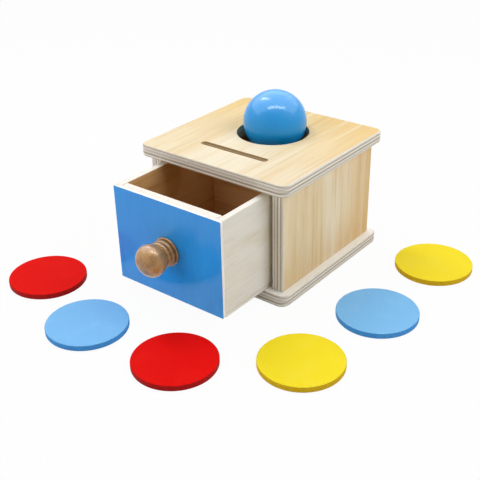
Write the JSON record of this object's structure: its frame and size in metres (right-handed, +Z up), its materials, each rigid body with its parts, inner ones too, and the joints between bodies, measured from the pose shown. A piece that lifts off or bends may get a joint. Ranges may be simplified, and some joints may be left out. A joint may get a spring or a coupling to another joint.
{
  "type": "coin slot box",
  "caption": "Wooden toy box with a coin slot and a ball hole in its lid, a drawer on a turned knob that catches what is posted, a ball and painted discs.",
  "frame": {"origin": "middle of the base's underside, on the surface that the box stands on", "axes": "+X to the right of someone who faces the drawer, -Y the way the drawer opens, +Z up"},
  "size_m": [0.2975, 0.2871, 0.1325],
  "materials": {
    "birch_plywood": "sanded and clear lacquered",
    "pale_wood": "sanded",
    "dowel_wood": "plain",
    "turned_wood": "turned and oiled",
    "blue_paint": "semi-gloss paint",
    "ball_lacquer": "gloss lacquer",
    "red_paint": "satin paint",
    "sky_paint": "satin paint",
    "yellow_paint": "satin paint",
    "screw_steel": "zinc plated"
  },
  "bodies": {
    "box": {"lid": "birch_plywood", "base": "birch_plywood", "left_side": "birch_plywood", "right_side": "birch_plywood", "rear_panel": "birch_plywood", "dowel_lid_left_front": "dowel_wood", "dowel_lid_left_rear": "dowel_wood", "dowel_lid_right_front": "dowel_wood", "dowel_lid_right_rear": "dowel_wood", "dowel_base_left_front": "dowel_wood", "dowel_base_left_rear": "dowel_wood", "dowel_base_right_front": "dowel_wood", "dowel_base_right_rear": "dowel_wood", "dowel_rear_left_lower": "dowel_wood", "dowel_rear_left_upper": "dowel_wood", "dowel_rear_right_lower": "dowel_wood", "dowel_rear_right_upper": "dowel_wood"},
    "drawer": {"drawer_facing": "blue_paint", "drawer_front": "pale_wood", "drawer_left_side": "pale_wood", "drawer_right_side": "pale_wood", "drawer_back": "pale_wood", "drawer_bottom": "pale_wood", "knob": "turned_wood", "knob_screw": "screw_steel"},
    "ball": {"ball": "ball_lacquer"},
    "disc_red_left": {"coin_red_left": "red_paint"},
    "disc_blue_left": {"coin_blue_left": "sky_paint"},
    "disc_red_near": {"coin_red_near": "red_paint"},
    "disc_yellow_near": {"coin_yellow_near": "yellow_paint"},
    "disc_blue_right": {"coin_blue_right": "sky_paint"},
    "disc_yellow_right": {"coin_yellow_right": "yellow_paint"}
  },
  "joints": [
    {"name": "drawer_slide", "type": "slide", "parent": "box", "child": "drawer", "axis": [0, -1, 0], "range_m": [-0.0544, 0.0456]},
    {"name": "ball_lift", "type": "slide", "parent": "box", "child": "ball", "axis": [0, 0, 1], "range_m": [0, 0.06]},
    {"name": "disc_red_left_lift", "type": "slide", "parent": "box", "child": "disc_red_left", "axis": [0, 0, 1], "range_m": [0, 0.12]},
    {"name": "disc_blue_left_lift", "type": "slide", "parent": "box", "child": "disc_blue_left", "axis": [0, 0, 1], "range_m": [0, 0.12]},
    {"name": "disc_red_near_lift", "type": "slide", "parent": "box", "child": "disc_red_near", "axis": [0, 0, 1], "range_m": [0, 0.12]},
    {"name": "disc_yellow_near_lift", "type": "slide", "parent": "box", "child": "disc_yellow_near", "axis": [0, 0, 1], "range_m": [0, 0.12]},
    {"name": "disc_blue_right_lift", "type": "slide", "parent": "box", "child": "disc_blue_right", "axis": [0, 0, 1], "range_m": [0, 0.12]},
    {"name": "disc_yellow_right_lift", "type": "slide", "parent": "box", "child": "disc_yellow_right", "axis": [0, 0, 1], "range_m": [0, 0.12]}
  ]
}
